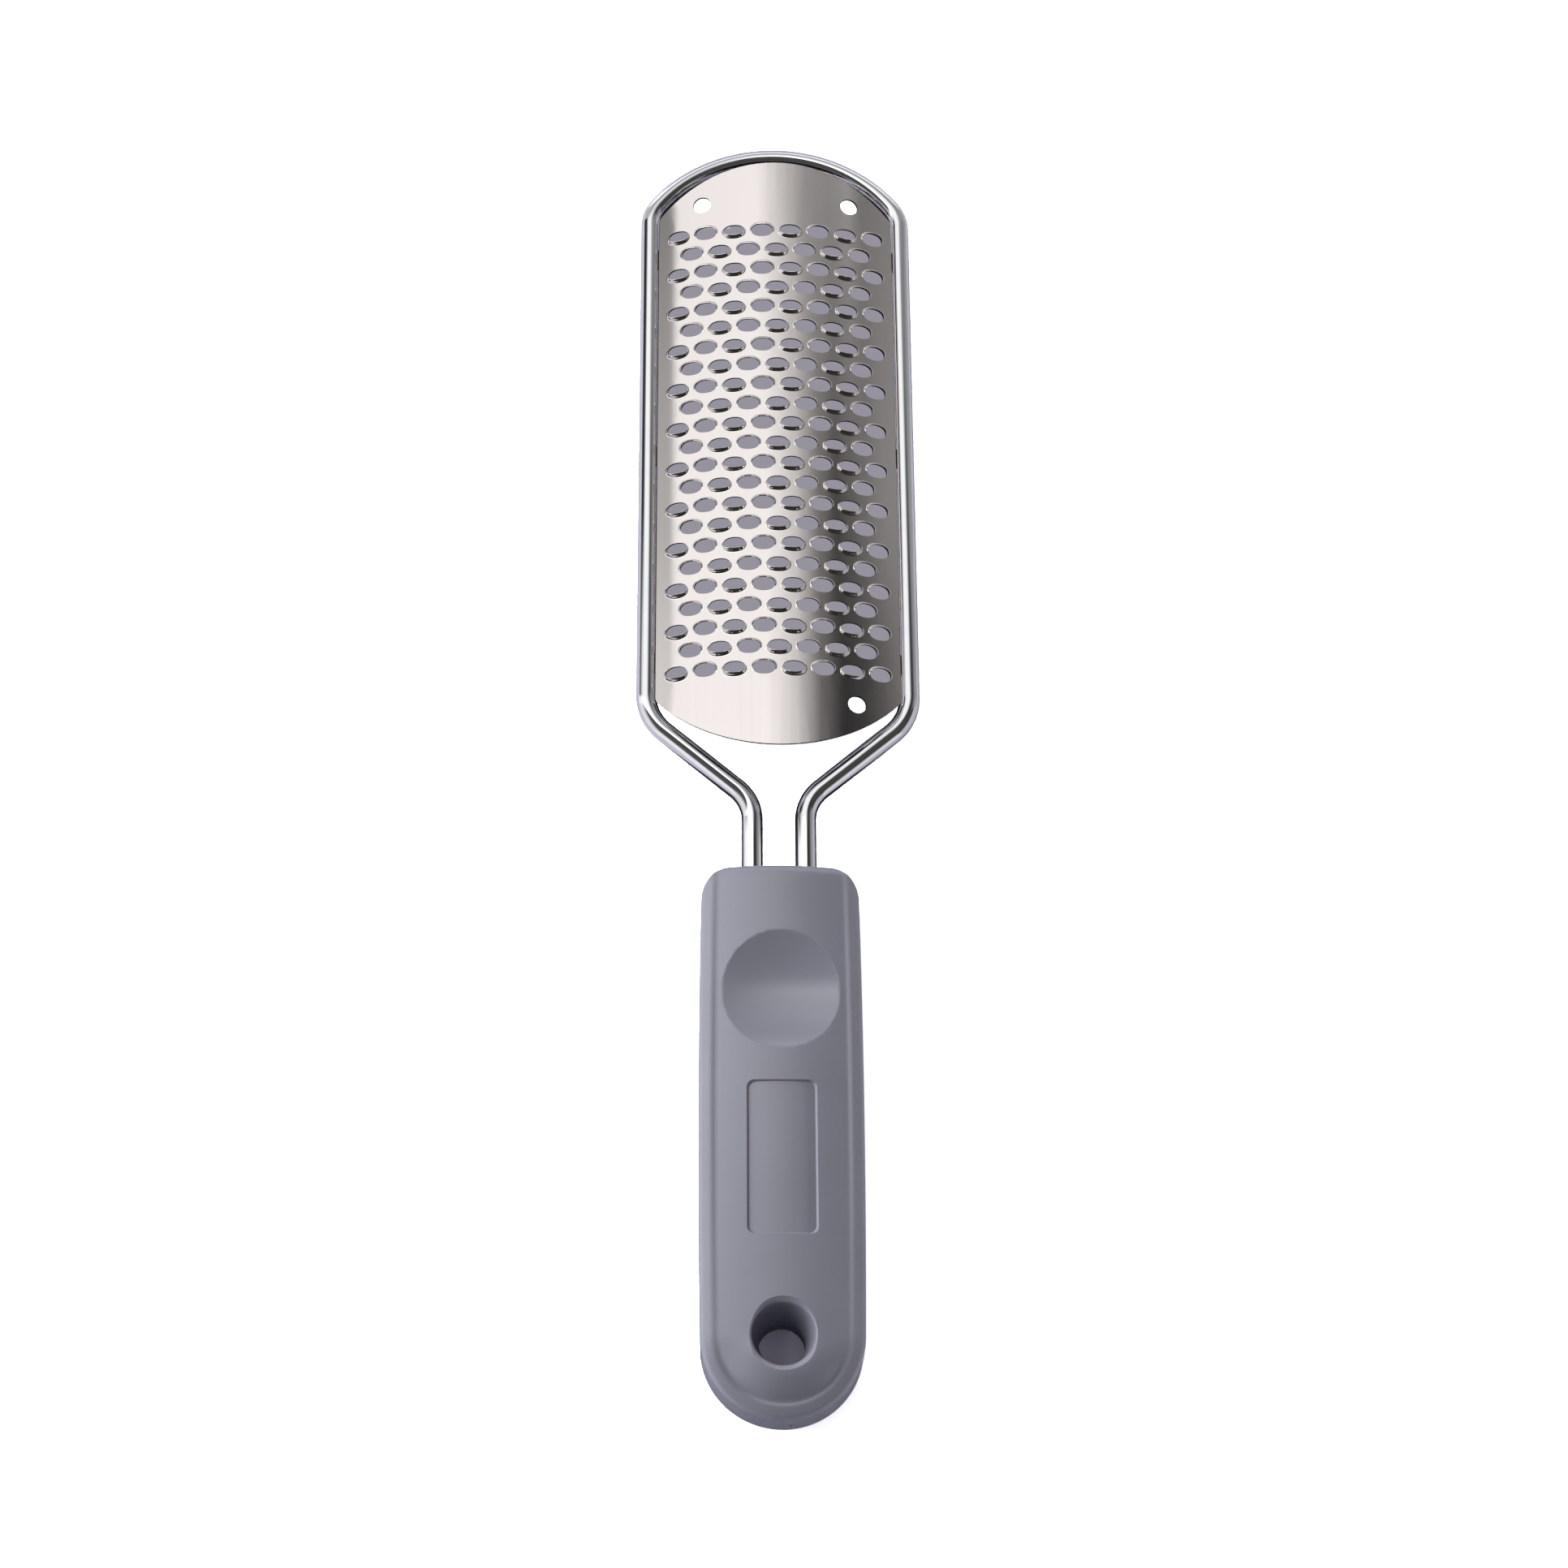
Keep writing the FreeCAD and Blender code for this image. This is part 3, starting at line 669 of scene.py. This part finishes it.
def sheetFinish(name):
    # Fine marks drawn out along the sheet
    material, tree, shader, place = newMaterial(name)
    finish = finishes[name]
    shader.inputs["Metallic"].default_value = 1.0
    stretch = tree.nodes.new("ShaderNodeMapping")
    stretch.inputs["Scale"].default_value = grain["sheetStretch"]
    tree.links.new(place, stretch.inputs["Vector"])
    noise = noiseFrom(tree, stretch.outputs["Vector"], 1.0, grain["sheetDetail"])
    colorBy(tree, shader, noise, finish)
    tree.links.new(rangeFrom(tree, noise, finish["rough"]), shader.inputs["Roughness"])
    bumpBy(tree, shader, noise, grain["sheetBump"])
    return material


def smootherSpot(tree, place, roughness, centre, reach, level):
    # A rounded spot of another roughness; a Mix node's sockets 2 and 3 are its two numbers
    spot = tree.nodes.new("ShaderNodeMapping")
    spot.vector_type = "TEXTURE"
    spot.inputs["Location"].default_value = centre
    spot.inputs["Scale"].default_value = reach
    away = tree.nodes.new("ShaderNodeVectorMath")
    away.operation = "LENGTH"
    inside = tree.nodes.new("ShaderNodeMapRange")
    inside.inputs["From Min"].default_value = 1.0
    inside.inputs["From Max"].default_value = grain["dishEdge"]
    blend = tree.nodes.new("ShaderNodeMix")
    blend.inputs[3].default_value = level
    tree.links.new(place, spot.inputs["Vector"])
    tree.links.new(spot.outputs["Vector"], away.inputs[0])
    tree.links.new(away.outputs["Value"], inside.inputs["Value"])
    tree.links.new(inside.outputs["Result"], blend.inputs[0])
    tree.links.new(roughness, blend.inputs[2])
    return blend.outputs[0]


def rubberFinish(name, smoothSpot=None):
    material, tree, shader, place = newMaterial(name)
    finish = finishes[name]
    shader.inputs["Specular IOR Level"].default_value = grain["rubberGloss"]
    clouds = noiseFrom(tree, place, grain["rubberClouds"], grain["cloudDetail"])
    colorBy(tree, shader, clouds, finish, grain["cloudEnds"])
    roughness = rangeFrom(tree, clouds, finish["rough"])
    if smoothSpot:
        roughness = smootherSpot(tree, place, roughness, *smoothSpot)
    tree.links.new(roughness, shader.inputs["Roughness"])
    bumpBy(tree, shader, noiseFrom(tree, place, grain["rubberGrain"]), grain["rubberBump"])
    return material


def dress(piece, material):
    piece.data.materials.clear()
    piece.data.materials.append(material)


dress(wireLoop, chromeFinish("polishedChrome"))
dress(raspSheet, sheetFinish("polishedSheet"))
# The dish is polished smoother than the rest of the handle
dishCentre = Vector((0, grip["neckY"] - features["dishFromNeck"], grip["thickness"])) * mm
dishSpot = (dishCentre, Vector(features["dishPolish"]) * mm, features["dishRough"])
dress(gripBody, rubberFinish("softRubber", dishSpot))
# The welds and the core keep their solids and get a better material
weldFinish = sheetFinish("weldedSteel")
coreFinish = rubberFinish("mouldedCore")
for nodeName, nodeFinish in (("weld_beads", weldFinish), ("handle_core", coreFinish)):
    for slot in nodes[nodeName].material_slots:
        slot.material = nodeFinish
print("materials made")


# Stage: pale floor, white to the camera, with painted shadows under the tool, and a tent of reflecting cards
# seen only by gloss
stage = {
    "floorSize": 6.0, "floorColor": (0.70, 0.70, 0.82, 1), "floorBounce": (1.5, 1.5, 1.65, 1),
    "floorWhite": (6.0, 6.0, 6.0, 1),
    # Painted shadow under the plate, a flat grey that glows, and painted shadow under the hang hole, both
    # seen by the camera
    "paintedPlateShadow": (0.305, 0.288, 0.342, 1), "paintedHoleShadow": (1.1, 1.05, 1.2, 1),
    # Painted shadow seen only in reflections: the floor under the tool is dark to gloss
    "paintedToolShadow": (0.04, 0.04, 0.044, 1),
    # Soft-edged boxes on the floor in millimetres, where the shadows are painted: low corner, high corner,
    # softness along X and Y
    "plateShadowBox": ((-24.2, 12.8), (24.4, 119.2), (2.4, 1.4)),
    "plateTopShadowBox": ((-10, 110), (12, 122), (1.5, 1.5)),
    "holeShadowBox": ((-6, -124), (6, -112), (1.0, 1.0)),
    "toolShadowBox": ((-24, -500), (24, 131), (2.0, 2.0)),
    # Tent in metres; glow is the brightest shade that it can show
    "tentRadius": 1.1, "tentStart": -2.4, "tentLength": 5.0, "tentSteps": 48, "glow": 2.2,
    # Zones of the tent along Y: where each takes over from the one before, then its shades by degrees,
    # from -90 at the left over 0 at the top to 90 at the right
    "zones": [
        (None, [(-90, 0.7), (-84, 0.2), (-76, 0.03), (90, 0.03)]),
        ((-0.8, -0.7), [(-90, 0.9), (-56, 1.0), (-46, 0.5), (-37, 0.03), (48, 0.03), (58, 0.6), (90, 0.9)]),
        ((-0.5, -0.4), [(-90, 0.9), (-60, 0.8), (-40, 0.08), (58, 0.05), (70, 0.5), (90, 0.6)]),
        ((0.24, 0.32), [(-90, 1.0), (-44, 1.2), (-39, 2.1), (-1, 2.1), (10, 0.5), (15, 0.05), (34, 0.03),
                        (44, 0.15), (60, 0.3), (90, 0.5)]),
        ((0.42, 0.49), [(-90, 0.6), (-76, 0.1), (-62, 0.3), (-52, 0.85), (-41, 0.75), (-38.5, 1.08),
                        (-2, 1.08), (9, 0.7), (17, 0.2), (27, 0.03), (36, 0.05), (45, 0.12), (55, 0.25),
                        (90, 0.4)]),
        ((0.55, 0.64), [(-90, 0.6), (-76, 0.03), (-54, 0.03), (-47, 0.5), (-41, 0.5), (-38.5, 1.08),
                        (-2, 1.08), (9, 0.67), (17, 0.22), (25, 0.06), (32, 0.13), (45, 0.27), (90, 0.4)]),
        ((0.66, 0.85), [(-90, 0.6), (-76, 0.03), (-54, 0.03), (-47, 0.22), (-41, 0.24), (-38.5, 1.02),
                        (-6, 1.08), (5, 0.62), (14, 0.33), (24, 0.3), (32, 0.36), (38, 0.2), (90, 0.4)]),
        ((0.9, 1.0), [(-90, 0.5), (-40, 0.5), (0, 0.35), (30, 0.3), (90, 0.4)]),
        ((1.5, 1.6), [(-90, 1.2), (20, 1.2), (60, 0.8), (90, 0.8)]),
    ],
}


def stageMesh(bm, name):
    mesh = bpy.data.meshes.new(name)
    bm.to_mesh(mesh)
    bm.free()
    piece = bpy.data.objects.new(name, mesh)
    bpy.context.scene.collection.objects.link(piece)
    return piece


def calculate(tree, operation, first, second):
    node = tree.nodes.new("ShaderNodeMath")
    node.operation = operation
    tree.links.new(first, node.inputs[0])
    tree.links.new(second, node.inputs[1])
    return node.outputs["Value"]


def boxMask(tree, place, box):
    # 1 inside a box on the floor, 0 outside, with soft edges
    low, high, soft = box
    split = tree.nodes.new("ShaderNodeSeparateXYZ")
    tree.links.new(place, split.inputs["Vector"])
    mask = None
    for axisName, start, end, fade in (("X", low[0], high[0], soft[0]), ("Y", low[1], high[1], soft[1])):
        for edge, direction in ((start, 1), (end, -1)):
            step = tree.nodes.new("ShaderNodeMapRange")
            step.interpolation_type = "SMOOTHSTEP"
            step.inputs["From Min"].default_value = (edge - fade * direction) * mm
            step.inputs["From Max"].default_value = (edge + fade * direction) * mm
            tree.links.new(split.outputs[axisName], step.inputs["Value"])
            side = step.outputs["Result"]
            mask = side if mask is None else calculate(tree, "MULTIPLY", mask, side)
    return mask


def paint(tree, base, mask, color):
    # Lays a colour over another where the mask is 1; each is a colour or a node's output,
    # and a Mix node's sockets 6 and 7 are its two colours
    mix = tree.nodes.new("ShaderNodeMix")
    mix.data_type = "RGBA"
    tree.links.new(mask, mix.inputs[0])
    for index, given in ((6, base), (7, color)):
        if isinstance(given, tuple):
            mix.inputs[index].default_value = given
        else:
            tree.links.new(given, mix.inputs[index])
    return mix.outputs[2]


def shaderMix(tree, mask, first, second):
    mix = tree.nodes.new("ShaderNodeMixShader")
    tree.links.new(mask, mix.inputs["Fac"])
    tree.links.new(first, mix.inputs[1])
    tree.links.new(second, mix.inputs[2])
    return mix.outputs["Shader"]


def makeFloor():
    s = stage
    bm = bmesh.new()
    bmesh.ops.create_grid(bm, x_segments=1, y_segments=1, size=s["floorSize"] / 2)
    floor = stageMesh(bm, "floor")
    material, tree, shader, place = newMaterial("paleFloor")
    tree.nodes.remove(shader)
    path = tree.nodes.new("ShaderNodeLightPath")
    # To the camera: a painted shadow under the perforated part, a flat grey that glows, a darker painted
    # shadow under the hang hole, elsewhere white
    bright = tree.nodes.new("ShaderNodeBsdfDiffuse")
    # Painted shadow: the floor seen through the hang hole is darker than the rest
    seen = paint(tree, s["floorWhite"], boxMask(tree, place, s["holeShadowBox"]), s["paintedHoleShadow"])
    tree.links.new(seen, bright.inputs["Color"])
    plateShadowGlow = tree.nodes.new("ShaderNodeEmission")
    plateShadowGlow.inputs["Color"].default_value = s["paintedPlateShadow"]
    lowerMask = boxMask(tree, place, s["plateShadowBox"])
    upperMask = boxMask(tree, place, s["plateTopShadowBox"])
    under = calculate(tree, "MAXIMUM", lowerMask, upperMask)
    shown = shaderMix(tree, under, bright.outputs["BSDF"], plateShadowGlow.outputs["Emission"])
    # To the polished wire: a painted shadow, dark under the tool. To matt surfaces: a bright bounce
    shade = calculate(tree, "MULTIPLY", boxMask(tree, place, s["toolShadowBox"]), path.outputs["Is Glossy Ray"])
    reflected = paint(tree, s["floorColor"], shade, s["paintedToolShadow"])
    reflected = paint(tree, reflected, path.outputs["Is Diffuse Ray"], s["floorBounce"])
    plain = tree.nodes.new("ShaderNodeBsdfDiffuse")
    tree.links.new(reflected, plain.inputs["Color"])
    whole = shaderMix(tree, path.outputs["Is Camera Ray"], plain.outputs["BSDF"], shown)
    tree.links.new(whole, tree.nodes["Material Output"].inputs["Surface"])
    floor.data.materials.append(material)


def makeTent():
    # Half tunnel over the object, drawn along Y and closed in front; its shade changes round it and along it
    s = stage
    bm = bmesh.new()
    start = bm.verts.new((s["tentRadius"], s["tentStart"], 0))
    end = bm.verts.new((s["tentRadius"], s["tentStart"] + s["tentLength"], 0))
    edge = bm.edges.new((start, end))
    bmesh.ops.spin(bm, geom=[edge, start, end], cent=(0, 0, 0), axis=(0, 1, 0), angle=-math.pi,
                   steps=s["tentSteps"], use_duplicate=False)
    front = [edge for edge in bm.edges if all(abs(vert.co.y - s["tentStart"]) < mm for vert in edge.verts)]
    ends = [vert for vert in {vert for edge in front for vert in edge.verts} if abs(vert.co.z) < mm]
    front.append(bm.edges.new(ends))
    bmesh.ops.edgenet_fill(bm, edges=front)
    tent = stageMesh(bm, "reflectingTent")
    material, tree, shader, place = newMaterial("tentShade")
    tree.nodes.remove(shader)
    split = tree.nodes.new("ShaderNodeSeparateXYZ")
    tree.links.new(place, split.inputs["Vector"])
    aroundTent = tree.nodes.new("ShaderNodeMapRange")
    aroundTent.inputs["From Min"].default_value = -math.pi / 2
    aroundTent.inputs["From Max"].default_value = math.pi / 2
    angle = calculate(tree, "ARCTAN2", split.outputs["X"], split.outputs["Z"])
    tree.links.new(angle, aroundTent.inputs["Value"])
    color = None
    for change, shades in s["zones"]:
        ramp = tree.nodes.new("ShaderNodeValToRGB")
        elements = ramp.color_ramp.elements
        elements.remove(elements[-1])
        for index, (degrees, shade) in enumerate(shades):
            position = degrees / 180 + 0.5
            element = elements[0] if index == 0 else elements.new(position)
            element.position = position
            element.color = (shade / s["glow"],) * 3 + (1,)
        tree.links.new(aroundTent.outputs["Result"], ramp.inputs["Fac"])
        if change is None:
            color = ramp.outputs["Color"]
            continue
        step = tree.nodes.new("ShaderNodeMapRange")
        step.inputs["From Min"].default_value = change[0]
        step.inputs["From Max"].default_value = change[1]
        tree.links.new(split.outputs["Y"], step.inputs["Value"])
        color = paint(tree, color, step.outputs["Result"], ramp.outputs["Color"])
    glow = tree.nodes.new("ShaderNodeEmission")
    glow.inputs["Strength"].default_value = s["glow"]
    tree.links.new(color, glow.inputs["Color"])
    tree.links.new(glow.outputs["Emission"], tree.nodes["Material Output"].inputs["Surface"])
    tent.data.materials.append(material)
    tent.visible_camera = False
    tent.visible_diffuse = False
    tent.visible_shadow = False
    tent.visible_transmission = False


# World: white to the camera, pale to gloss, dim to the rest
room = {"dim": (0.17, 0.17, 0.17, 1), "gloss": (0.42, 0.42, 0.50, 1), "camera": (1.0, 1.0, 1.0, 1)}


def makeWorld():
    world = bpy.data.worlds.new("paleRoom")
    bpy.context.scene.world = world
    world.use_nodes = True
    tree = world.node_tree
    path = tree.nodes.new("ShaderNodeLightPath")
    color = paint(tree, room["dim"], path.outputs["Is Glossy Ray"], room["gloss"])
    color = paint(tree, color, path.outputs["Is Camera Ray"], room["camera"])
    tree.links.new(color, tree.nodes["Background"].inputs["Color"])


# Lamps: place and size in metres, power in watts; each faces the object
lamps = {
    "keyLamp": {"place": (-1.2, 0.5, 0.7), "size": (1.4, 1.4), "power": 37.5},
    "sideLamp": {"place": (1.5, 0.2, 0.06), "size": (1.2, 0.12), "power": 13.0},
    "frontLamp": {"place": (0.1, -1.6, 0.06), "size": (1.2, 0.12), "power": 2.0},
}


def addLamp(name, settings):
    lamp = bpy.data.lights.new(name, "AREA")
    lamp.shape = "RECTANGLE"
    lamp.size, lamp.size_y = settings["size"]
    lamp.energy = settings["power"]
    lampObject = bpy.data.objects.new(name, lamp)
    bpy.context.scene.collection.objects.link(lampObject)
    lampObject.location = settings["place"]
    lampObject.rotation_euler = (-Vector(settings["place"])).to_track_quat("-Z", "Y").to_euler()
    lampObject.visible_glossy = False


makeFloor()
makeTent()
makeWorld()
for name, settings in lamps.items():
    addLamp(name, settings)
print("stage set:", len(stage["zones"]), "tent zones,", len(lamps), "lamps")


# Camera: angles in degrees, focal length in pixels of the photo's frame, lengths in millimetres
cameraFit = {
    "azimuth": -4.6, "elevation": 65.0, "roll": 4.64, "distance": 696.0, "target": (1.01, -9.75, 6.5),
    "focal": 4562.0, "frameWidth": 1932, "sensor": 36.0, "nearest": 50.0, "furthest": 20000.0,
}


def makeCamera():
    c = cameraFit
    azimuth, elevation, roll = (math.radians(c[key]) for key in ("azimuth", "elevation", "roll"))
    level = math.cos(elevation)
    back = Vector((math.sin(azimuth) * level, -math.cos(azimuth) * level, math.sin(elevation)))
    camera = bpy.data.cameras.new("photoCamera")
    camera.sensor_width = c["sensor"]
    camera.lens = c["focal"] / c["frameWidth"] * c["sensor"]
    camera.clip_start = c["nearest"] * mm
    camera.clip_end = c["furthest"] * mm
    cameraObject = bpy.data.objects.new("photoCamera", camera)
    bpy.context.scene.collection.objects.link(cameraObject)
    cameraObject.location = (Vector(c["target"]) + back * c["distance"]) * mm
    turned = (-back).to_track_quat("-Z", "Y").to_matrix().to_4x4() @ Matrix.Rotation(roll, 4, "Z")
    cameraObject.rotation_euler = turned.to_euler()
    bpy.context.scene.camera = cameraObject


makeCamera()
bpy.context.scene.view_settings.view_transform = "Standard"
print("camera placed")
